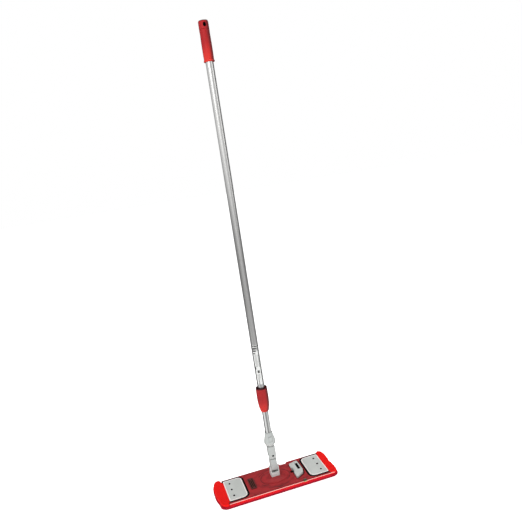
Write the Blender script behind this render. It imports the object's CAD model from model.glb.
"""Looks of the flat mop: cover, holder, swivel joint and telescopic handle.

Metres, +Z up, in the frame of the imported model.
"""
from math import ceil, cos, hypot, pi, radians, sin, sqrt, tau
from random import Random

import bmesh
import bpy
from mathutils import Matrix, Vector, noise


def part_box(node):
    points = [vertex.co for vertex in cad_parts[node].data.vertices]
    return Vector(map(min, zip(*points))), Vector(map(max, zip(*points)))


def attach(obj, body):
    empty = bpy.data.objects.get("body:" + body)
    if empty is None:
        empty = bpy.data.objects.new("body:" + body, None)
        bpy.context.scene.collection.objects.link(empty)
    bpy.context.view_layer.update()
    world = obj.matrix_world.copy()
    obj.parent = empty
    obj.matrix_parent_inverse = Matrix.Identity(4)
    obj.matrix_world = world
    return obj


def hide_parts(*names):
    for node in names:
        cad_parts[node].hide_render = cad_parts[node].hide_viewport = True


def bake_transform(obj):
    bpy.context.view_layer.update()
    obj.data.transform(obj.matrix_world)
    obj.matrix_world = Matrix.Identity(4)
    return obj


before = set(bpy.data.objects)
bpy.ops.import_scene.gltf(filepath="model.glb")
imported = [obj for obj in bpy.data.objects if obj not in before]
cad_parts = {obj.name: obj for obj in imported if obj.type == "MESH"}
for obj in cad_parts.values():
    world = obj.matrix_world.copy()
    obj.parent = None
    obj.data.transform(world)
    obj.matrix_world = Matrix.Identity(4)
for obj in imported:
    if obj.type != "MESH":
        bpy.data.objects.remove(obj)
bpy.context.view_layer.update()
scene = bpy.context.scene

HOLDER_RED = (0.385, 0.018, 0.022)
HOLDER_DARK = (0.215, 0.008, 0.012)
HANDLE_RED = (0.390, 0.012, 0.014)
HANDLE_BRIGHT = (0.850, 0.040, 0.020)
CLOTH_RED = (0.960, 0.012, 0.008)
CLOTH_DEEP = (0.660, 0.006, 0.008)
PILE_RED = (0.620, 0.012, 0.030)
PILE_DEEP = (0.250, 0.003, 0.022)
PIPING_PINK = (0.960, 0.560, 0.500)
CLAMP_GREY = (0.560, 0.585, 0.565)
CLAMP_EDGE = (0.950, 0.880, 0.860)
JOINT_GREY = (0.480, 0.505, 0.495)
JOINT_EDGE = (0.740, 0.740, 0.730)
BLACK = (0.010, 0.009, 0.010)
RUBBER_BLACK = (0.0045, 0.0040, 0.0045)
RELIEF_RED = (0.110, 0.006, 0.009)
RELIEF_DARK = (0.060, 0.003, 0.006)
BADGE_RED = (0.110, 0.012, 0.012)
BADGE_DARK = (0.060, 0.008, 0.008)
BADGE_BAR = (0.016, 0.011, 0.004)
FOOT_GREY = (0.640, 0.655, 0.645)
FOOT_DARK = (0.520, 0.535, 0.525)
INK = (0.014, 0.014, 0.014)


def given(thing, **values):
    """The thing with its settings made."""
    for key, value in values.items():
        setattr(thing, key, value)
    return thing


# ---- finishes

def math_method(operation):
    """A method that joins two numbers by one Math node."""
    return lambda self, other: self.sum(operation, self, other)


class Wire:
    """A number that varies over a surface; sums on it add Math nodes."""

    def __init__(self, nodes, socket):
        self.nodes = nodes
        self.socket = socket

    def sum(self, operation, *values):
        return self.nodes.node("ShaderNodeMath", {"operation": operation}, dict(enumerate(values)))

    __add__ = __radd__ = math_method("ADD")
    __sub__ = math_method("SUBTRACT")
    __mul__ = __rmul__ = math_method("MULTIPLY")
    __truediv__ = math_method("DIVIDE")
    __lt__ = math_method("LESS_THAN")
    __gt__ = math_method("GREATER_THAN")
    angle_from = math_method("ARCTAN2")

    def __rsub__(self, other):
        return self.sum("SUBTRACT", other, self)

    def size(self):
        return self.sum("ABSOLUTE", self)

    def wave(self):
        return self.sum("SINE", self)

    def ramp(self, low, high, start=0.0, stop=1.0):
        """start below low, stop above high, smooth between."""
        return self.nodes.node("ShaderNodeMapRange", {"interpolation_type": "SMOOTHSTEP"},
                               {"Value": self, "From Min": low, "From Max": high,
                                "To Min": start, "To Max": stop})


class Nodes:
    """A node tree under construction."""

    def __init__(self, tree):
        self.tree = tree

    def feed(self, socket, value):
        if isinstance(value, Wire):
            self.tree.links.new(value.socket, socket)
        elif hasattr(socket.default_value, "__len__") and len(socket.default_value) == 4:
            socket.default_value = (*value, 1.0)
        else:
            socket.default_value = value

    def node(self, kind, settings=None, values=None, output=0):
        made = self.tree.nodes.new(kind)
        given(made, **(settings or {}))
        for key, value in (values or {}).items():
            self.feed(made.inputs[key], value)
        return Wire(self, made.outputs[output])

    def split(self, vector):
        parts = self.node("ShaderNodeSeparateXYZ", values={0: vector}).socket.node
        return [Wire(self, socket) for socket in parts.outputs]


class Finish(Nodes):
    """One procedural material. It reads the point on the piece at rest, in the shared frame."""

    def __init__(self, name, woven=False, **steady):
        self.material = bpy.data.materials.new(name)
        self.material.use_nodes = True
        super().__init__(self.material.node_tree)
        self.shader = self.tree.nodes["Principled BSDF"]
        for socket, value in steady.items():
            self.shader.inputs[socket.replace("_", " ")].default_value = value
        if woven:   # a piece that bends across the fold
            self.place = self.node("ShaderNodeAttribute", {"attribute_name": "rest_place"},
                                   output="Vector")
        else:
            self.place = self.node("ShaderNodeTexCoord", output="Object")

    def axes(self):
        return self.split(self.place)

    def stretched(self, *scales):
        return self.node("ShaderNodeVectorMath", {"operation": "MULTIPLY"}, {0: self.place, 1: scales})

    def noise(self, scale, detail=2.0, roughness=0.5, stretch=None):
        """Soft noise. A stretch, or a scale in three parts, squeezes it along the axes."""
        if isinstance(scale, tuple):
            stretch, scale = scale, 1
        place = self.stretched(*stretch) if stretch else self.place
        return self.node("ShaderNodeTexNoise", {"noise_dimensions": "3D"},
                         {"Vector": place, "Scale": scale, "Detail": detail, "Roughness": roughness})

    def cells(self, scale):
        return self.node("ShaderNodeTexVoronoi", values={"Vector": self.place, "Scale": scale})

    def mix(self, share, first, second):
        return self.node("ShaderNodeMix", {"data_type": "RGBA"}, {0: share, 6: first, 7: second}, 2)

    def paint(self, colour, roughness, height=None, depth=0.0003, strength=0.3):
        self.feed(self.shader.inputs["Base Color"], colour)
        self.feed(self.shader.inputs["Roughness"], roughness)
        if height is not None:
            bump = self.node("ShaderNodeBump",
                             values={"Height": height, "Distance": depth, "Strength": strength})
            self.feed(self.shader.inputs["Normal"], bump)
        return self.material


def toned(colour, share):
    """A colour made darker."""
    return tuple(share * part for part in colour)


def moulded(name, colour, dark, gloss, shine=0.36):
    """Injection-moulded plastic: fine spark grain, faint flow marks and rubbed patches."""
    finish = Finish(name, Specular_IOR_Level=shine)
    speck = finish.noise(900, 3)
    flow = finish.noise(26, 3, stretch=(1, 1, 0.35))
    rub = finish.noise((60, 700, 60), 2).ramp(0.62, 0.74)
    shade = flow.ramp(0.3, 0.72) * 0.35 + speck.ramp(0.35, 0.75) * 0.16
    return finish.paint(finish.mix(shade, colour, dark), gloss + 0.16 * speck - 0.1 * rub,
                        speck + 0.5 * flow, 0.00025, 0.25)


def holder_plastic(name, top_z):
    """The holder's red plastic, worn lighter along its run, with the clamps' wells in black."""
    finish = Finish(name, Specular_IOR_Level=0.3)
    x, y, z = finish.axes()
    speck = finish.noise(850, 3)
    flow = finish.noise(30, 4, 0.6, stretch=(1.0, 1.6, 1.0))
    sweep = finish.node("ShaderNodeTexWave", {"wave_type": "RINGS", "rings_direction": "Z"},
                        {"Vector": finish.stretched(0.8, 1.15, 0), "Scale": 7.5,
                         "Distortion": 2.2, "Detail": 2.0, "Detail Scale": 9.0})
    shade = (flow.ramp(0.32, 0.7) * 0.42 + sweep.ramp(0.78, 0.98) * 0.4
             + speck.ramp(0.4, 0.8) * 0.12)
    red = finish.mix(shade, HOLDER_RED, HOLDER_DARK)
    notch = ((x - NOTCH_X).size() < WELL_NOTCH_HALF) * (y > WELL_NOTCH_Y)
    well = (z < top_z - WELL_DEPTH) * (y.size() < WELL_HALF) * (x.size() < WELL_END) * (1 - notch)
    scuff = finish.noise((900, 60, 60), 2).ramp(0.6, 0.72)
    return finish.paint(finish.mix(well, red, BLACK), 0.44 + 0.18 * speck - 0.12 * scuff,
                        speck + 0.6 * flow, 0.0003, 0.28)


def edge_plastic(name, colour, gloss):
    """A rubbed, slightly polished edge."""
    finish = Finish(name, Specular_IOR_Level=0.45)
    wear = finish.noise(140, 3).ramp(0.35, 0.7)
    return finish.paint(finish.mix(wear * 0.35, colour, toned(colour, 0.8)),
                        gloss + 0.12 * wear, finish.noise(1200, 2), 0.0002, 0.12)


def handle_plastic(name, low_z, high_z, rim_z):
    """The handle's red plastic: brighter below high_z, dark at its mould seam and above rim_z."""
    finish = Finish(name, Specular_IOR_Level=0.22)
    x, y, z = finish.axes()
    grain = finish.noise(620, 3)
    patch = finish.noise(45, 2, stretch=(1, 1, 0.4)).ramp(0.35, 0.7)
    lower = 1 - z.ramp(low_z, high_z)
    red = finish.mix(lower * 0.55, HANDLE_RED, HANDLE_BRIGHT)
    seam_x, seam_y = HANDLE_SEAM_ACROSS
    seam = 1 - (seam_x * x + seam_y * y + 0.001 * patch).size().ramp(0.0045, 0.015)
    red = finish.mix(seam * 0.85, red, (0.085, 0.01, 0.012))
    red = finish.mix(z.ramp(rim_z, rim_z + 0.001), red, (0.02, 0.003, 0.005))
    return finish.paint(finish.mix(patch * 0.3, red, HOLDER_DARK), 0.4 + 0.2 * grain,
                        grain, 0.0003, 0.35)


def drawn_aluminium(name, tone, gloss, bands_deep=0.0):
    """Anodised tube: die lines along it, a faint haze and a few scratches round it."""
    finish = Finish(name, Metallic=1.0)
    x, y, _ = finish.axes()
    turn = x.angle_from(0 - y) + 0.25
    die = ((turn * 4.6 + 0.4).wave() * 0.5 + 0.5).ramp(0.45, 0.95) * bands_deep
    die = die + turn.size().ramp(0.95, 1.35) * (turn.size() < 1.75) * bands_deep
    lines = finish.noise((1500, 1500, 3), 3, 0.65)
    bands = finish.noise((170, 170, 0.9), 2).ramp(0.3, 0.72)
    haze = finish.noise(14, 3)
    scratch = finish.noise((90, 90, 1600), 2).ramp(0.66, 0.74)
    shade = lines.ramp(0.3, 0.7) * 0.22 + bands * 0.2 + haze * 0.08 + scratch * 0.04 + die
    return finish.paint(finish.mix(shade, tone, toned(tone, 0.48)),
                        gloss + 0.07 * lines + 0.05 * haze, lines, 0.00001, 0.04)


def turned_steel(name, tone, gloss):
    """Lathe-turned or spring steel."""
    finish = Finish(name, Metallic=1.0)
    lathe = finish.noise((2600, 260, 2600), 2)
    return finish.paint(finish.mix(lathe.ramp(0.3, 0.7) * 0.5, tone, toned(tone, 0.5)),
                        gloss + 0.15 * lathe, lathe, 0.0001, 0.2)


def microfibre(name, woven, bright, deep, knit=520):
    """Knitted microfibre: rows of small loops, lint and slow changes of colour."""
    finish = Finish(name, woven, Specular_IOR_Level=0.08, Sheen_Weight=0.12, Sheen_Roughness=0.55,
                    Sheen_Tint=(1.0, 0.25, 0.2, 1.0))
    x, y, _ = finish.axes()
    course = ((x * knit).wave() * (y * knit * 1.2).wave() + 1) * 0.5
    loop = finish.cells(620)
    lint = finish.noise(190, 4, 0.7)
    slow = finish.noise(22, 2)
    shade = ((1 - course) * 0.2 + loop.ramp(0.15, 0.75) * 0.3 + lint.ramp(0.35, 0.75) * 0.28
             + slow.ramp(0.35, 0.7) * 0.22)
    return finish.paint(finish.mix(shade, bright, deep), 0.86 + 0.12 * lint,
                        course * 0.5 + (1 - loop) * 0.8 + lint * 0.5, 0.0007, 0.7)


def yarn(name):
    """The cover's pile: twisted yarn, darker where it turns under."""
    finish = Finish(name, True, Specular_IOR_Level=0.08, Sheen_Weight=0.12, Sheen_Roughness=0.5,
                    Sheen_Tint=(1.0, 0.4, 0.4, 1.0))
    _, _, z = finish.axes()
    twist = finish.noise((700, 700, 1500), 3)
    tuft = finish.cells(210)
    low = 1 - z.ramp(0.004, 0.0095)
    shade = low * 0.6 + twist.ramp(0.3, 0.7) * 0.3 + tuft.ramp(0.2, 0.8) * 0.26
    return finish.paint(finish.mix(shade, PILE_RED, PILE_DEEP), 0.88 + 0.1 * twist,
                        twist + 0.5 * tuft, 0.0006, 0.7)


def piping_cord(name):
    """The pale twisted cord sewn along the cover's upper edge."""
    finish = Finish(name, True, Specular_IOR_Level=0.25, Sheen_Weight=0.3)
    x, _, z = finish.axes()
    twist = ((x * 1900 + z * 1900).wave() + 1) * 0.5
    fray = finish.noise(420, 3)
    return finish.paint(finish.mix(twist * 0.3 + fray.ramp(0.35, 0.8) * 0.3, PIPING_PINK, CLOTH_RED),
                        0.55 + 0.2 * fray, twist + fray, 0.0004, 0.5)


def paper_label(name, low_z, high_z):
    """A printed sticker: plain bars, blocks and a ruled panel, with nothing to read."""
    finish = Finish(name, Coat_Weight=0.25, Specular_IOR_Level=0.4)
    x, y, z = finish.axes()
    turn = x.angle_from(0 - y)
    rise = (z - low_z) / (high_z - low_z)
    left_edge = -1.5

    def block(middle, half, left, right):
        """A bar at a share of the label's height, between two angles round the tube."""
        return ((rise - middle).size() < half) * (turn > left) * (turn < right)

    def rules(middle, half, left, right, count):
        """The same, cut into thin lines."""
        lines = (rise * count * tau).wave() > 0.15
        return block(middle, half, left, right) * lines

    ink = (turn < -0.98) + (turn > 0.44) * (turn < 0.8) + rules(0.89, 0.05, 0.1, 0.55, 40)
    for bar in [(0.972, 0.014, left_edge, 0.9), (0.918, 0.022, left_edge, 0.2),
                (0.86, 0.02, left_edge, -0.1), (0.795, 0.014, left_edge, -0.35),
                (0.43, 0.036, left_edge, -0.72), (0.335, 0.034, -0.52, 0.1),
                (0.34, 0.018, left_edge, -0.95)]:
        ink = ink + block(*bar)
    grey = rules(0.62, 0.15, -0.75, -0.05, 34) + block(0.6, 0.16, 0.22, 0.4)
    grey = grey + rules(0.215, 0.06, -0.75, 0.05, 36) + block(0.08, 0.08, -0.55, -0.32)
    worn = finish.noise(320, 3).ramp(0.35, 0.75)
    sheet = finish.mix(worn * 0.3, (0.72, 0.73, 0.72), (0.56, 0.57, 0.565))
    printed = finish.mix(grey.ramp(0, 1) * 0.85, sheet, (0.15, 0.155, 0.15))
    printed = finish.mix(ink.ramp(0, 1) * (1 - 0.25 * worn), printed, INK)
    return finish.paint(printed, 0.38 + 0.15 * worn, worn, 0.00005, 0.2)


def tag_cloth(name, split_z):
    """Woven tape, straw below split_z and dark green above it."""
    finish = Finish(name, Sheen_Weight=0.3)
    x, y, z = finish.axes()
    weave = ((x * 5200).wave() * (z * 5200 + y * 5200).wave() + 1) * 0.5
    face = finish.mix(z > split_z, (0.56, 0.47, 0.22), (0.035, 0.04, 0.012))
    face = finish.mix(weave * 0.3, face, (0.05, 0.045, 0.02))
    return finish.paint(face, 0.8 + 0.1 * weave, weave, 0.0002, 0.5)


def floor_paint(name):
    """The plain pale floor, which also glows a little to keep its shadows soft."""
    finish = Finish(name, Specular_IOR_Level=0.1, Emission_Strength=0.86,
                    Emission_Color=(1, 1, 1, 1))
    cloud = finish.noise(3, 2)
    return finish.paint(finish.mix(cloud * 0.2, (0.86, 0.86, 0.86), (0.82, 0.82, 0.82)), 0.9)


# ---- making pieces

def ahead_at(path, index):
    """How a path runs at one of its points, not of unit length."""
    return Vector(path[min(index + 1, len(path) - 1)]) - Vector(path[max(index - 1, 0)])


class Loom:
    """Collects the faces of one mesh."""

    def __init__(self):
        self.points = []
        self.faces = []

    def rows(self, rows, closed=False, capped=False):
        """Faces between rows of points of equal length."""
        base = len(self.points)
        count = len(rows[0])
        for row in rows:
            self.points += [tuple(point) for point in row]
        last = count if closed else count - 1
        for level in range(len(rows) - 1):
            for step in range(last):
                after = (step + 1) % count
                low = base + level * count
                self.faces.append((low + step, low + after, low + count + after, low + count + step))
        if capped:
            self.faces.append([base + step for step in reversed(range(count))])
            top = base + (len(rows) - 1) * count
            self.faces.append([top + step for step in range(count)])

    def strand(self, path, radius, sides=6, taper=1.0):
        """A round strand along a path, closed at both ends."""
        rows = []
        side = None
        turns = [tau * turn / sides for turn in range(sides)]
        for index, point in enumerate(path):
            ahead = ahead_at(path, index).normalized()
            guess = side or ahead.orthogonal()
            side = (guess - ahead * guess.dot(ahead)).normalized()
            across = ahead.cross(side)
            share = index / (len(path) - 1)
            thick = radius * (1 - (1 - taper) * share)
            rows.append([point + (side * cos(turn) + across * sin(turn)) * thick for turn in turns])
        self.rows(rows, closed=True, capped=True)

    def lathe(self, profile, sides, centre=(0, 0), swell=None):
        """A closed ring of (radius, z) turned about an upright axis."""
        rows = []
        for radius, z in profile + profile[:1]:
            row = []
            for side in range(sides):
                turn = tau * side / sides
                reach = swell(radius, z, turn) if swell else radius
                row.append((centre[0] + reach * cos(turn), centre[1] + reach * sin(turn), z))
            rows.append(row)
        base = len(self.points)
        self.rows(rows[:-1], closed=True)
        last = base + (len(profile) - 1) * sides
        for side in range(sides):
            after = (side + 1) % sides
            self.faces.append((last + side, last + after, base + after, base + side))

    def piece(self, name, material):
        """The finished piece, its normals facing out."""
        mesh = bpy.data.meshes.new(name)
        mesh.from_pydata(self.points, [], self.faces)
        tidy = bmesh.new()
        tidy.from_mesh(mesh)
        bmesh.ops.recalc_face_normals(tidy, faces=tidy.faces[:])
        tidy.to_mesh(mesh)
        tidy.free()
        mesh.materials.append(material)
        mesh.shade_smooth()
        mesh.set_sharp_from_angle(angle=radians(40))
        return placed(name, mesh)


def placed(name, thing):
    """An object put into the scene."""
    made = bpy.data.objects.new(name, thing)
    scene.collection.objects.link(made)
    return made


def fitted(made, body):
    """Gives a piece its finish slot and the body that carries it."""
    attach(made, body)


def across_fold(made):
    """Cloth that bends where the wing folds, and keeps where each point is at rest."""
    rest = made.data.attributes.new("rest_place", "FLOAT_VECTOR", "POINT")
    rest.data.foreach_set("vector", [part for vert in made.data.vertices for part in vert.co])
    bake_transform(made)


def settle(made):
    """Applies a piece's modifiers."""
    shown = made.evaluated_get(bpy.context.evaluated_depsgraph_get())
    mesh = bpy.data.meshes.new_from_object(shown)
    made.modifiers.clear()
    made.data = mesh


def thicken(made, thickness, offset):
    """Gives a single layer its thickness."""
    given(made.modifiers.new("thickness", "SOLIDIFY"), thickness=thickness, offset=offset)
    settle(made)


def copied(node, name):
    """A copy of a node's mesh with its flat faces made whole."""
    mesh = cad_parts[node].data.copy()
    tidy = bmesh.new()
    tidy.from_mesh(mesh)
    bmesh.ops.remove_doubles(tidy, verts=tidy.verts[:], dist=0.000002)
    bmesh.ops.dissolve_limit(tidy, angle_limit=radians(0.6), verts=tidy.verts[:], edges=tidy.edges[:])
    tidy.to_mesh(mesh)
    tidy.free()
    mesh.materials.clear()
    return placed(name, mesh)


def eased(node, name, body, material, edge_material, width):
    """A node made again with its sharp edges eased, and those edges in their own finish."""
    made = copied(node, name)
    for finish in (material, edge_material):
        made.data.materials.append(finish)
    given(made.modifiers.new("eased edges", "BEVEL"), width=width, segments=3, limit_method="ANGLE",
          angle_limit=radians(40), material=1, harden_normals=True)
    made.data.shade_smooth()
    made.data.set_sharp_from_angle(angle=radians(35))
    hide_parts(node)
    fitted(made, body)


def finish_node(material, *nodes):
    """A node whose shape is right gets its finish."""
    for node in nodes:
        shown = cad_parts[node]
        if not shown.material_slots:
            shown.data.materials.append(material)
        for place in shown.material_slots:
            place.material = material


# ---- where things are

HOLDER_HALF, HOLDER_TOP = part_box("centre_frame")[1].yz
PAD_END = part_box("mop_pad_wing")[1].x
PAD_HALF, PAD_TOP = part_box("mop_pad")[1].yz
PAD_CORNER = 0.024
PILE_RADIUS = 0.00125
NOTCH_LOW_X, NOTCH_HIGH_X = 0.0285, 0.0675      # the gap in the cover's back edge
NOTCH_X = (NOTCH_LOW_X + NOTCH_HIGH_X) / 2
FLAP_STEP_X = 0.1848    # where the flap lies down on the holder
HEM_Y = 0.06
STITCH_X = 0.2022
WELL_HALF, WELL_END = 0.0655, 0.1925            # black inside these, below the holder's top
WELL_DEPTH, WELL_NOTCH_HALF, WELL_NOTCH_Y = 0.0009, 0.0185, 0.06
STUD_X, STUD_PITCH, STUD_FOOT_Z = 0.161, 0.0374, 0.0187
LIP_WIDTH = 0.0052
TUBE_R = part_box("outer_tube")[1].x
TUBE_WALL = 0.0012
LABEL_LOW_Z, LABEL_HIGH_Z = 0.377, 0.519
LABEL_START, LABEL_SWEEP = -1.4, 2.35      # radians round the tube from its front
HANG_HOLE_Z = 1.5531
HANDLE_SEAM_ACROSS = (0.5786, 0.8691)       # the way the handle's mould seam faces


# ---- the cover

def eased_step(value, low, high):
    share = min(1.0, max(0.0, (value - low) / (high - low)))
    return share * share * (3 - 2 * share)


def slack(point):
    """Where the cover's ends lie: past the holder, with its back corners pulled round."""
    x, y, z = point
    side = -1 if x < 0 else 1
    end = eased_step(abs(x), 0.176, 0.206)
    if side < 0:
        out = 0.004 + 0.0075 * eased_step(y, -0.055, 0.000)
    else:
        out = 0.005 - 0.002 * eased_step(y, -0.04, 0.005)
        out -= 0.003 * max(0.0, 1 - ((y - 0.004) / 0.01) ** 2)
    corner = eased_step(abs(x), 0.18, 0.194) * eased_step(y, 0.03, 0.072)
    return Vector((x + side * end * out * (1 - 0.4 * corner), y + 0.0115 * corner, z + 0.0012 * corner))


def pad_reach(y, end, half, corner):
    """How far the cover's outline reaches along X at a given Y."""
    past = abs(y) - (half - corner)
    if past <= 0:
        return end
    return end - corner + sqrt(max(0.0, corner * corner - past * past))


def outline_walk(end, half, corner, pitch):
    """Points and outward directions all round a rounded rectangle, at an even pitch."""
    wide, deep, bend = 2 * (end - corner), 2 * (half - corner), corner * pi / 2
    sides = [(corner - end, -half, 1, 0, wide), (end, corner - half, 0, 1, deep),
             (end - corner, half, -1, 0, wide), (-end, half - corner, 0, -1, deep)]
    total = 2 * (wide + deep + 2 * bend)
    steps = ceil(total / pitch)
    found = []
    for step in range(steps):
        along = total * step / steps
        for x, y, ahead_x, ahead_y, length in sides:
            if along <= length + bend:
                break
            along -= length + bend
        straight = min(along, length)
        turn = (along - straight) / corner
        out_x = ahead_y * cos(turn) + ahead_x * sin(turn)
        out_y = ahead_y * sin(turn) - ahead_x * cos(turn)
        found.append((Vector((x + ahead_x * straight + corner * (out_x - ahead_y),
                              y + ahead_y * straight + corner * (out_y + ahead_x))),
                      Vector((out_x, out_y))))
    return found


def pile_backing(loom):
    """The cover's body, closed all round."""
    inset = 0.0022
    columns, lines = 150, 56
    for z_level, lift in ((PAD_TOP - 0.0004, 0.0003), (0.0022, 0.0)):
        rows = []
        for line in range(lines + 1):
            y = (PAD_HALF - inset) * (2 * line / lines - 1)
            reach = pad_reach(y, PAD_END - inset, PAD_HALF - inset, PAD_CORNER - inset)
            row = []
            for column in range(columns + 1):
                x = reach * (2 * column / columns - 1)
                ripple = noise.noise(Vector((x, y, z_level)) * 160) * lift
                row.append((x, y, z_level + ripple))
            rows.append(row)
        loom.rows(rows)
    width = columns + 1
    count = width * (lines + 1)
    rim = list(range(width))
    rim += [line * width + columns for line in range(1, lines + 1)]
    rim += [lines * width + column for column in range(columns - 1, -1, -1)]
    rim += [line * width for line in range(lines - 1, 0, -1)]
    for step, corner in enumerate(rim):
        after = rim[(step + 1) % len(rim)]
        loom.faces.append((corner, after, count + after, count + corner))


def pile_fringe(loom, dice, pitch, lean, top, foot, reach):
    """Leaning loops of yarn all round the cover's edge."""
    walk = outline_walk(PAD_END - 0.002 + reach, PAD_HALF - 0.002 + reach, PAD_CORNER - 0.002,
                        pitch)
    for spot, out in walk:
        along = Vector((-out.y, out.x))
        jitter = dice.uniform(-0.0006, 0.0006)
        swell = dice.uniform(0.0, 0.0005)
        path = []
        for part in range(8):
            share = part / 7
            bulge = sin(pi * share) * 0.0009 + swell * share
            flat = (spot + along * (lean * (0.5 - share) + jitter)
                    + out * min(bulge - 0.0003, 0.00072))
            path.append(Vector((flat.x, flat.y, top + (foot + PILE_RADIUS - top) * share)))
        loom.strand(path, PILE_RADIUS * dice.uniform(0.86, 1.0), 6, 0.85)


def pile_rows(loom, dice, lines=25, pitch=0.0058):
    """Rows of short loops underneath."""
    for line in range(lines):
        y = (PAD_HALF - 0.0045) * (2 * line / (lines - 1) - 1)
        reach = pad_reach(y, PAD_END - 0.004, PAD_HALF - 0.004, PAD_CORNER - 0.004)
        steps = int(2 * reach / pitch)
        for step in range(steps):
            x = -reach + 2 * reach * (step + 0.5) / steps + dice.uniform(-0.0006, 0.0006)
            lean = dice.uniform(-0.0008, 0.0008)
            path = [(x - 0.0024, y - 0.001, 0.003), (x - 0.0016, y + lean, 0.0016),
                    (x, y + lean, 0.00128), (x + 0.0016, y + lean, 0.0016),
                    (x + 0.0024, y + 0.001, 0.003)]
            loom.strand([Vector(point) for point in path], PILE_RADIUS, 5)


def make_pile():
    """The cover's backing with its looped yarn: round the edge, and in rows underneath."""
    loom = Loom()
    dice = Random(7)
    pile_backing(loom)
    pile_fringe(loom, dice, 0.0034, 0.0048, 0.0088, 0.0012, 0.0)
    pile_fringe(loom, dice, 0.0036, 0.003, 0.006, 0.0009, -0.0006)
    pile_rows(loom, dice)
    loom.points = [tuple(slack(point)) for point in loom.points]
    pile = loom.piece("cover_pile", yarn("pile yarn"))
    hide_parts("mop_pad", "mop_pad_wing")
    across_fold(pile)
    return pile


def make_rim(pile):
    """The cover's upright edge beside the holder, with a pale cord sewn along its top."""
    cloth = microfibre("rim cloth", True, CLOTH_RED, PILE_DEEP, 900)
    cord = piping_cord("piping cord")
    middle = HOLDER_HALF + 0.0023
    high = HOLDER_TOP - 0.0034
    end = FLAP_STEP_X - 0.0008
    section = [(-0.0011, PAD_TOP - 0.0035), (-0.0012, PAD_TOP + 0.004), (-0.001, high - 0.0008),
               (0, high), (0.0012, high - 0.0008), (0.0015, PAD_TOP + 0.004),
               (0.0006, PAD_TOP - 0.0035)]
    for name, low_x, high_x, side in [("front", -end, end, -1),
                                      ("back_left", -end, NOTCH_LOW_X, 1),
                                      ("back_right", NOTCH_HIGH_X, end, 1)]:
        length = high_x - low_x
        steps = ceil(length / 0.0025)
        stops = [low_x + length * step / steps for step in range(steps + 1)]
        loom = Loom()
        rows = []
        for x in stops:
            sway = 0.00022 * noise.noise(Vector((x * 90, side, 3)))
            rows.append([(x, side * (middle + across + sway), z) for across, z in section])
        loom.rows(rows, closed=True, capped=True)
        band = loom.piece(f"cover_rim_{name}", cloth)
        across_fold(band)
        loom = Loom()
        cord_y = side * (middle + 0.0003)
        cord_z = high + 0.0006
        path = [Vector((x, cord_y, cord_z + 0.0001 * sin(step * 1.7)))
                for step, x in enumerate(stops)]
        if name == "front":
            path += [Vector((high_x + out, cord_y - rise * side, cord_z - rise))
                     for out, rise in ((0.004, 0.0001), (0.008, 0.0003), (0.012, 0.0008),
                                       (0.015, 0.0016))]
        loom.strand(path, 0.00115, 8)
        piping = loom.piece(f"cover_piping_{name}", cord)
        across_fold(piping)


def flap_top(x, y, side):
    """The cloth's soft rise and fall."""
    return (0.00035 * noise.noise(Vector((x * 70, y * 70, side)))
            + 0.00012 * noise.noise(Vector((x, y, 2)) * 420))


def soften_flap(flap, side):
    """Turns a flap's solid into thick cloth with a hem and a sewn groove."""
    given(flap.modifiers.new("weave grid", "REMESH"), mode="VOXEL", voxel_size=0.00085)
    given(flap.modifiers.new("soft edges", "SMOOTH"), factor=0.5, iterations=5)
    settle(flap)
    loose_x = FLAP_STEP_X - 0.004
    normals = [Vector(vert.normal) for vert in flap.data.vertices]
    for vert, normal in zip(flap.data.vertices, normals):
        x, y, z = vert.co
        if abs(x) > loose_x:
            fade = min(1.0, (abs(x) - FLAP_STEP_X + 0.004) / 0.003)
            shift = noise.noise(Vector((x, y, z)) * 480) * 0.00022 + flap_top(x, y, side) * 0.9
            hem = 0
            if z > 0.0175:
                hem = 0.00045 * sin(pi * min(1.0, max(0.0, (abs(y) - HEM_Y) / 0.01)))
            vert.co += normal * (shift + hem) * fade
        groove = abs(abs(x) - STITCH_X)
        if z > 0.0176 and groove < 0.0009:
            vert.co.z -= 0.00035 * (1 - groove / 0.0009)
        vert.co = slack(vert.co)


def make_loose_yarn(name, side, cloth):
    """Ends of yarn that stick out round a flap: (x, y, how many)."""
    dice = Random(11 + side)
    loom = Loom()
    for spot_x, spot_y, count in [(0.1865, 0.0715, 8), (0.1985, 0.066, 6), (0.2055, 0.037, 4),
                                  (0.206, -0.01, 5), (0.205, -0.048, 4)]:
        for _ in range(count):
            start = Vector((side * (spot_x + dice.uniform(-0.003, 0.002)),
                            spot_y + dice.uniform(-0.004, 0.004),
                            0.0165 + dice.uniform(-0.002, 0.0012)))
            out = Vector((start.x - side * 0.18, start.y * 0.9, 0)).normalized()
            length = dice.uniform(0.0022, 0.0042)
            droop = dice.uniform(0.3, 1.0)
            path = [slack(start) + out * length * share
                    + Vector((0, 0, 0.0016 * share - 0.0022 * droop * share * share))
                    for share in (0, 0.3, 0.6, 0.85, 1.0)]
            loom.strand(path, 0.00038, 5, 0.35)
    return loom.piece(name + "_loose_yarn", cloth)


def make_stitches(name, side, cloth, count=34):
    """The row of stitches along a flap's groove."""
    loom = Loom()
    for step in range(count):
        y = 2 * HEM_Y * step / (count - 1) - HEM_Y
        path = [slack((side * STITCH_X, y + along, z))
                for along, z in ((-0.0011, 0.01855), (0, 0.0189), (0.0011, 0.01855))]
        loom.strand(path, 0.0002, 5)
    return loom.piece(name + "_stitches", cloth)


def make_flap(node, name, body, side):
    """A folded-over end of the cover, softened from its solid, with loose yarn and stitches."""
    cloth = microfibre(name.replace("_", " ") + " cloth", False, CLOTH_RED, CLOTH_DEEP)
    flap = copied(node, name)
    soften_flap(flap, side)
    flap.data.materials.append(cloth)
    flap.data.shade_smooth()
    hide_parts(node)
    tufts = make_loose_yarn(name, side, cloth)
    stitches = make_stitches(name, side, cloth)
    for made in (flap, tufts, stitches):
        fitted(made, body)


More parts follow.
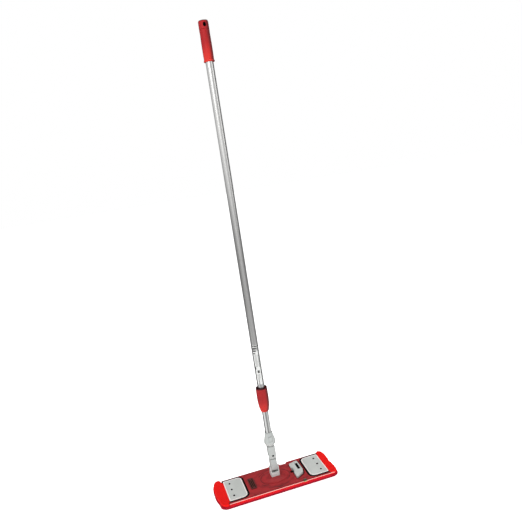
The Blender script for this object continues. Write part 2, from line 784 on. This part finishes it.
def make_tag():
    """The little care tag hung over the cover's front edge: a strip folded lengthwise, left blank."""
    low_x, high_x = 0.082, 0.093
    edge = -HOLDER_HALF
    top = HOLDER_TOP
    line = [(edge + 0.006, top + 0.0004), (edge + 0.003, top + 0.0005), (edge - 0.0002, top + 0.0006),
            (edge - 0.0024, top - 0.0001), (edge - 0.0038, top - 0.0013), (edge - 0.0043, top - 0.0028),
            (edge - 0.0044, top - 0.0042)]
    turned = [(low_x, 0), ((low_x + high_x) / 2, 0), (high_x, 0), (high_x + 0.0002, 0.00035),
              (high_x, 0.0007), ((low_x + high_x) / 2, 0.0008), (low_x, 0.0008)]
    rows = []
    for index, (y, z) in enumerate(line):
        ahead = ahead_at(line, index)
        out = Vector((ahead.y, -ahead.x)).normalized()
        if out.y < -0.01:
            out = -out
        rows.append([(x, y + out.x * lift, z + out.y * lift) for x, lift in turned])
    loom = Loom()
    loom.rows(rows)
    tag = loom.piece("cover_tag", tag_cloth("tag cloth", top - 0.0012))
    thicken(tag, 0.00022, -1)
    fitted(tag, "wing")
    length = sum(hypot(b[0] - a[0], b[1] - a[1]) for a, b in zip(line, line[1:]))


# ---- the holder

def relief(loom, path, width, height, base):
    """A low moulded ridge along a flat path."""
    rows = []
    for index, spot in enumerate(path):
        ahead = ahead_at(path, index).normalized()
        share = min(index, len(path) - 1 - index) / 3
        tall = height * min(1.0, 0.25 + share)
        section = [(-0.5, -0.0003), (-0.5, 0.3 * tall), (-0.3, 0.85 * tall), (0, tall),
                   (0.3, 0.85 * tall), (0.5, 0.3 * tall), (0.5, -0.0003)]
        rows.append([(spot.x - ahead.y * part * width, spot.y + ahead.x * part * width, base + rise)
                     for part, rise in section])
    loom.rows(rows, closed=True, capped=True)


def arc(wide, deep, start, stop, step=5):
    """Points on an oval about the origin, between two angles in degrees."""
    steps = max(12, int((stop - start) / step))
    turns = [radians(start + (stop - start) * index / steps) for index in range(steps + 1)]
    return [Vector((wide * cos(turn), deep * sin(turn))) for turn in turns]


def make_relief(plastic):
    """Moulded arcs round the hub, and the blank plate's frame."""
    loom = Loom()
    for wide, deep, start, stop in [(0.0535, 0.043, -52, 52), (0.0535, 0.043, 128, 232),
                                    (0.064, 0.05, 118, 152), (0.064, 0.05, 208, 242),
                                    (0.07, 0.06, 236, 300), (0.062, 0.056, 62, 112),
                                    (0.04, 0.063, 250, 282), (0.03, 0.023, 140, 215),
                                    (0.034, 0.027, -30, 25), (0.078, 0.05, 160, 200)]:
        path = [spot for spot in arc(wide, deep, start, stop)
                if spot.x < 0.054 and abs(spot.y) < 0.066]
        relief(loom, path, 0.0021, 0.00065, HOLDER_TOP)
    for row in (-1, 1):
        path = [Vector((-0.102 + 0.15 * step / 24, row * 0.0655)) for step in range(25)]
        relief(loom, path, 0.0012, 0.0004, HOLDER_TOP)
    arcs = loom.piece("holder_relief", plastic)
    fitted(arcs, "frame")
    loom = Loom()
    path = [Vector((0.066 + 0.04 * step / 12, 0.003 * sin(step / 4) - 0.058)) for step in range(13)]
    relief(loom, path, 0.0014, 0.0005, HOLDER_TOP)
    fitted(loom.piece("wing_relief", plastic), "wing")


def lip(loom, walk, side, section, reach_y):
    """A rubber lip along a walk, its section measured out from it and up from the holder."""
    rows = []
    for index, (x, y) in enumerate(walk):
        ahead = ahead_at(walk, index).normalized()
        rows.append([(side * (x - ahead.y * reach), max(-reach_y, min(reach_y, y + ahead.x * reach)),
                      HOLDER_TOP + rise) for reach, rise in section])
    loom.rows(rows, closed=True, capped=True)


def clamp_size(node):
    """A clamp's nearer and farther reach along X, its half width and its top."""
    low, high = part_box(node)
    return (*sorted((abs(low.x), abs(high.x))), high.y, high.z)


def make_clamp_surrounds(name, body, side, black):
    """The rubber lip round a clamp's well, and the rubber caps on its three studs."""
    inner, outer, half, _ = clamp_size(name + "_clamp")
    corner = 0.017
    bend = [(corner * sin(radians(turn)), corner * cos(radians(turn))) for turn in range(15, 90, 15)]
    walk = [(outer + 0.001, -half), (inner + corner, -half)]
    walk += [(inner + corner - sine, -half + corner - cosine) for sine, cosine in bend]
    walk += [(inner, -half + corner), (inner, half - corner)]
    walk += [(inner + corner - cosine, half - corner + sine) for sine, cosine in bend]
    walk += [(inner + corner, half), (outer + 0.001, half)]
    near, far = 0.0018, 0.0018 + LIP_WIDTH
    loom = Loom()
    lip(loom, walk, side, [(near - 0.0002, -0.0006), (near, 0.0003), (near + LIP_WIDTH * 0.5, 0.0005),
                           (far, 0.0002), (far, -0.0006)], 0.0705)
    for row in (-1, 0, 1):
        loom.lathe([(0.0004, STUD_FOOT_Z), (0.0031, STUD_FOOT_Z), (0.0033, 0.0222), (0.0032, 0.0232),
                    (0.0022, 0.0242), (0.0004, 0.0245)], 20, (side * STUD_X, row * STUD_PITCH))
    fitted(loom.piece(name + "_clamp_rubber", black), body)


def make_clamp_rim(name, side, material):
    """The pale rubbed bead round the top of a clamp plate."""
    inset, small, corner = 0.0019, 0.002, 0.0157
    inner, outer, half, top = clamp_size(name)
    inner, outer, half = inner + inset, outer - inset, half - inset
    path = []
    for middle_x, middle_y, reach, start in [(outer - small, small - half, small, -90),
                                             (outer - small, half - small, small, 0),
                                             (inner + corner, half - corner, corner, 90),
                                             (inner + corner, corner - half, corner, 180)]:
        for turn in range(start, start + 91, 15):
            path.append(Vector((side * (middle_x + reach * cos(radians(turn))),
                                middle_y + reach * sin(radians(turn)))))
    path.append(path[0].copy())
    loom = Loom()
    relief(loom, path, 0.003, 0.00045, top)
    fitted(loom.piece(name + "_bead", material), name)


def make_pedal_lip(black):
    """The rubber lip round the pedal's well."""
    walk = [(0.064, 0.0405), (0.0648, 0.044), (0.068, 0.0462), (0.094, 0.054), (0.099, 0.0545),
            (0.102, 0.0515), (0.103, 0.046), (0.1034, 0.0000), (0.103, -0.012), (0.101, -0.02),
            (0.099, -0.027), (0.095, -0.033), (0.07, -0.049), (0.0665, -0.05),
            (0.064, -0.048)]
    loom = Loom()
    lip(loom, walk, 1, [(-0.0002, -0.0006), (0.0, 0.0003), (0.0012, 0.0005), (0.0024, 0.0002),
                        (0.0024, -0.0006)], 1)
    fitted(loom.piece("pedal_rubber", black), "wing")


def make_badge_marks():
    """Three plain bars on the blank plate, in a darker moulding."""
    low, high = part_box("blank_badge")
    middle = (low.x + high.x) / 2
    loom = Loom()
    for offset, half in [(-0.0055, 0.027), (0.0, 0.021), (0.0055, 0.027)]:
        path = [Vector((middle + offset, -half + 2 * half * step / 16)) for step in range(17)]
        relief(loom, path, 0.003, 0.0006, high.z)
    bar = moulded("badge moulding", BADGE_BAR, (0.008, 0.006, 0.002), 0.6, shine=0.08)
    fitted(loom.piece("badge_bars", bar), "frame")


def make_pedal_insert(black):
    """The dark latch block that shows in the pedal's window."""
    low_x, high_x, low_y, high_y = 0.0838, 0.0962, -0.0062, 0.0362
    base = 0.0178
    loom = Loom()
    for start, stop, tall in [(low_y, 0.006, 0.0212), (0.0075, 0.0205, 0.0222),
                              (0.022, high_y, 0.0206)]:
        rows = []
        for inset, z in [(0, base), (0, tall - 0.0006), (0.0004, tall - 0.0001), (0.0012, tall)]:
            rows.append([(low_x + inset, start + inset, z), (high_x - inset, start + inset, z),
                         (high_x - inset, stop - inset, z), (low_x + inset, stop - inset, z)])
        loom.rows(rows, closed=True, capped=True)
    fitted(loom.piece("pedal_latch_block", black), "pedal")


def make_label():
    """The sticker wrapped half round the tube, lying on it."""
    thickness, levels, steps = 0.00012, 18, 28
    radius = TUBE_R + thickness
    turns = [LABEL_START + LABEL_SWEEP * step / steps for step in range(steps + 1)]
    rows = []
    for level in range(levels + 1):
        z = LABEL_LOW_Z + (LABEL_HIGH_Z - LABEL_LOW_Z) * level / levels
        rows.append([(radius * sin(turn), -radius * cos(turn), z) for turn in turns])
    loom = Loom()
    loom.rows(rows)
    label = loom.piece("tube_label", paper_label("printed label", LABEL_LOW_Z, LABEL_HIGH_Z))
    thicken(label, thickness, 1)
    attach(label, "upper_pole")


# ---- joint and handle

def make_pin_eye(black):
    """The dark rubber bung over the fork's upper pin, front and back."""
    pin_low, pin_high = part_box("upper_pin")
    fork_low, fork_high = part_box("swivel_fork")
    height = (pin_low.z + pin_high.z) / 2
    loom = Loom()
    for face, side in ((fork_low.y, -1), (fork_high.y, 1)):
        loom.strand([Vector((0.0008, face + side * lift, height))
                     for lift in (-0.0012, 0.0002, 0.0007, 0.0009)], 0.0036, 16, 0.7)
    fitted(loom.piece("fork_pin_bungs", black), "lower_pole")


def make_turned(name, node, body, material, profile, sides, swell=None):
    """A piece turned about the handle's axis, in the place of a node."""
    loom = Loom()
    loom.lathe(profile, sides, swell=swell)
    made = loom.piece(name, material)
    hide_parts(node)
    fitted(made, body)


def make_tube(node, name, body, material):
    """A drawn tube with its ends broken by a small chamfer."""
    low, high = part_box(node)
    outer, chamfer, length = high.x, 0.0002, high.z - low.z
    steps = ceil(length / 0.04)
    profile = [(outer - chamfer, low.z), (outer, low.z + chamfer)]
    profile += [(outer, low.z + length * step / steps) for step in range(1, steps)]
    profile += [(outer, high.z - chamfer), (outer - chamfer, high.z), (outer - TUBE_WALL, high.z),
                (outer - TUBE_WALL, low.z)]
    make_turned(name, node, body, material, profile, 128)


def make_collar(material):
    """The twist collar with its shallow finger flutes."""
    low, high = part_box("lock_collar")
    base = low.z
    tall = high.z - low.z
    widest = high.x
    outer = [(0.645, 0), (0.715, 0.03), (0.77, 0.075), (0.83, 0.136), (0.88, 0.2), (0.925, 0.273),
             (0.962, 0.36), (0.985, 0.443), (0.996, 0.55), (1.0, 0.659), (0.994, 0.76), (0.985, 0.852),
             (0.974, 0.93), (0.962, 0.975), (0.95, 0.995), (0.938, 1.0)]
    profile = [(widest * share, base + tall * rise) for share, rise in outer]
    profile += [(0.0177, high.z - 0.0006), (0.0173, high.z - 0.002), (0.0166, high.z - 0.019),
                (0.0163, high.z - 0.026), (0.0163, base + 0.017), (0.015, base + 0.008),
                (0.0117, base + 0.0055), (0.0117, base)]

    def flute(radius, z, turn):
        share = (z - base) / tall
        if radius < 0.0178 and share > 0.14 or share < 0.12 or share > 0.9:
            return radius
        if radius < 0.0155:
            return radius
        depth = 0.00055 * sin(pi * (share - 0.12) / 0.78) ** 0.6
        return radius - depth * max(0.0, cos(turn * 14)) ** 3

    make_turned("twist_collar", "lock_collar", "lock_collar", material, profile, 168,
                flute)


def make_grip(material):
    """The sleeve grip with its flange and fine rings."""
    low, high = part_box("grip")
    reach = 0.016
    wall = TUBE_R + 0.0003
    base = low.z + 0.0035
    top = high.z
    profile = [(wall, base), (reach + 0.0007, base), (reach + 0.0012, base + 0.0007),
               (reach + 0.0014, base + 0.002), (reach + 0.0012, base + 0.0033),
               (reach + 0.0006, base + 0.0045), (reach - 0.0004, base + 0.006)]
    z = base + 0.0075
    while z < top - 0.01:
        share = (z - base) / (top - base)
        body = reach - 0.0004 + 0.0006 * sin(pi * min(1, share * 1.1)) - 0.0002 * share
        profile += [(body, z), (body + 0.00022, z + 0.0012), (body, z + 0.0024)]
        z += 0.0034
    profile += [(reach, top - 0.006), (reach, top - 0.001), (reach - 0.0003, top - 0.0003),
                (reach - 0.001, top), (wall, top)]
    make_turned("grip_sleeve", "grip", "upper_pole", material, profile, 64)


def make_hang_sleeve(black, sides=24):
    """The dark lining of the hole the mop hangs by, from (y, half width, half height) rings."""
    rows = []
    for y, wide, tall in [(-0.0128, 0.0049, 0.0069), (-0.0134, 0.0046, 0.0066), (-0.0128, 0.003, 0.005),
                          (0.0, 0.0026, 0.0046), (0.0128, 0.003, 0.005), (0.0134, 0.0046, 0.0066),
                          (0.0128, 0.0049, 0.0069), (-0.0128, 0.0049, 0.0069)]:
        row = []
        for turn in [tau * step / sides for step in range(sides)]:
            straight = (tall - wide) * (1 if sin(turn) > 0 else -1)
            row.append((wide * cos(turn), y, HANG_HOLE_Z + straight + wide * sin(turn)))
        rows.append(row)
    loom = Loom()
    loom.rows(rows, closed=True)
    fitted(loom.piece("hang_hole_lining", black), "upper_pole")


def make_socket_ribs(material):
    """Fine strengthening ribs down the socket's sides, clear of its button."""
    low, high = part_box("handle_socket")
    loom = Loom()
    tall = high.z - low.z
    bell = [(0.0192, 0.16), (0.0203, 0.229), (0.02, 0.333), (0.0183, 0.479), (0.016, 0.646),
            (0.0143, 0.8125), (0.0135, 0.9375)]
    for turn in [radians(angle) for angle in (35, 75, 105, 145, 180, 0)]:
        out = Vector((cos(turn), sin(turn), 0))
        path = [out * (radius - 0.0002) + Vector((0, 0, low.z + tall * rise)) for radius, rise in bell]
        loom.strand(path, 0.0008, 8)
    fitted(loom.piece("socket_ribs", material), "lower_pole")


# ---- the whole mop

holder = holder_plastic("holder red", HOLDER_TOP)
clamp = moulded("clamp grey", CLAMP_GREY, toned(CLAMP_GREY, 0.82), 0.42)
clamp_edge = edge_plastic("clamp edge", CLAMP_EDGE, 0.36)
joint = moulded("joint grey", JOINT_GREY, toned(JOINT_GREY, 0.8), 0.4)
joint_edge = edge_plastic("joint edge", JOINT_EDGE, 0.36)
black = moulded("black moulding", RUBBER_BLACK, (0.002, 0.002, 0.002), 0.62, shine=0.03)
steel = turned_steel("pin steel", (0.3, 0.29, 0.29), 0.34)
spring_steel = turned_steel("dark spring steel", (0.05, 0.05, 0.052), 0.4)
tube_outer = drawn_aluminium("outer tube aluminium", (0.84, 0.84, 0.83), 0.23)
tube_inner = drawn_aluminium("inner tube aluminium", (0.95, 0.96, 0.95), 0.13, 0.8)

make_rim(make_pile())
make_flap("left_flap", "left_flap_cloth", "frame", -1)
make_flap("right_flap", "right_flap_cloth", "wing", 1)
make_tag()

finish_node(holder, "centre_frame", "right_wing")
make_relief(moulded("relief red", RELIEF_RED, RELIEF_DARK, 0.5))
finish_node(moulded("badge plate", BADGE_RED, BADGE_DARK, 0.5), "blank_badge")
make_badge_marks()
finish_node(holder, "hub_dome")
eased("left_clamp", "left_clamp_plate", "left_clamp", clamp, clamp_edge, 0.0009)
eased("right_clamp", "right_clamp_plate", "right_clamp", clamp, clamp_edge, 0.0009)
eased("release_pedal", "pedal_plate", "pedal", clamp, clamp_edge, 0.0008)
make_clamp_rim("left_clamp", -1, clamp_edge)
make_clamp_rim("right_clamp", 1, clamp_edge)
make_pedal_lip(black)
make_clamp_surrounds("left", "frame", -1, black)
make_clamp_surrounds("right", "wing", 1, black)
make_pedal_insert(black)
finish_node(black, "left_stud_strip", "right_stud_strip", "collet_sleeve", "tube_end_plug", "latch_hook",
            "catch_plate")
finish_node(spring_steel, "left_clamp_spring", "right_clamp_spring", "pedal_spring", "button_spring",
            "upper_pin", "lower_pin", "left_clamp_pin", "right_clamp_pin", "pedal_pin")
finish_node(steel, "fold_pin", "foot_screw_front", "foot_screw_back")
make_pin_eye(black)

foot = moulded("foot grey", FOOT_GREY, FOOT_DARK, 0.4)
eased("foot_fork", "foot_fork_block", "frame", foot, joint_edge, 0.0007)
eased("link_block", "link_cross_block", "link", joint, joint_edge, 0.0006)
eased("swivel_fork", "swivel_fork_arm", "lower_pole", joint, joint_edge, 0.0007)
finish_node(joint, "handle_socket", "socket_button")
make_socket_ribs(joint)
make_tube("inner_tube", "inner_tube_drawn", "lower_pole", tube_inner)
make_tube("outer_tube", "outer_tube_drawn", "upper_pole", tube_outer)
make_label()
collar_low, collar_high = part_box("lock_collar")
make_collar(handle_plastic("collar red", collar_low.z, collar_low.z + 0.055,
                           collar_high.z - 0.004))
grip_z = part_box("grip")[0].z
grip_red = handle_plastic("grip red", grip_z, grip_z + 0.075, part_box("grip_end_cap")[1].z - 0.0028)
make_grip(grip_red)
finish_node(grip_red, "grip_end_cap")
make_hang_sleeve(black)


# ---- floor, light and camera

def make_floor(half=30.0, z=-0.0004):
    loom = Loom()
    loom.rows([[(-half, y, z), (half, y, z)] for y in (-half, half)])
    floor = loom.piece("studio_floor", floor_paint("pale floor"))
    floor.visible_glossy = False


def make_light(name, place, aim, wide, tall, power):
    lamp = given(bpy.data.lights.new(name, "AREA"), shape="RECTANGLE", size=wide, size_y=tall,
                 energy=power, color=(1.0, 0.99, 0.98))
    turned = (Vector(aim) - Vector(place)).to_track_quat("-Z", "Y").to_euler()
    given(placed(name, lamp), location=place, rotation_euler=turned)


# (bearing, spread, strength low down, strength high up, from elevation, to elevation), in degrees
BANDS = [(-142, 78, 0.0, 1.12, -5, 2), (-142, 78, 0.0, -0.85, 5, 28),
         (-92, 32, 0.0, 0.7, -13, -6), (-92, 32, 0.0, -0.7, -3, 2),
         (-50, 58, 0.15, 0.0, -15, -8),
         (-152, 34, 0.88, 0.0, -20, -17), (-58, 32, 0.66, 0.0, -20, -17),
         (14, 24, 0.6, 0.0, -27, -24)]


def make_world():
    """White to look at. What reflects it meets a dim studio with soft upright bands of light."""
    world = bpy.data.worlds.new("studio")
    scene.world = world
    world.use_nodes = True
    room = Nodes(world.node_tree)
    x, y, z = room.split(room.node("ShaderNodeTexCoord"))
    bearing = y.angle_from(x) * (180 / pi)
    rise = z.sum("ARCSINE", z) * (180 / pi)
    light = 0.15 + 0.18 * rise.ramp(-5, 60)
    for middle, spread, low, high, from_rise, to_rise in BANDS:
        for turn in (middle, middle + 360):
            gap = (bearing - turn) / spread
            soft = gap.sum("EXPONENT", 0 - gap * gap)
            light = light + soft * rise.ramp(from_rise, to_rise, low, high)
    seen = room.node("ShaderNodeLightPath")
    background = room.tree.nodes["Background"]
    background.inputs["Color"].default_value = (1, 1, 1, 1)
    room.feed(background.inputs["Strength"], seen + (1 - seen) * light)


make_floor()
make_world()
make_light("key", (-1.9, -2.6, 2.7), (0, 0, 0.5), 1.4, 1.4, 26)
make_light("top", (0.2, 0.2, 3.4), (0, 0, 0), 2.2, 2.2, 58)
make_light("fill", (2.2, -1.6, 1.6), (0, 0, 0.5), 1.2, 1.8, 8)

camera_data = bpy.data.cameras.new("camera")
camera_data.sensor_width = 36.0
camera_data.lens = 36.136
camera = placed("camera", camera_data)
camera.location = (-0.36163, -1.67474, 1.09437)
camera.rotation_euler = (radians(80.139), radians(8.548), radians(-15.847))
scene.camera = camera
scene.view_settings.view_transform = "Standard"
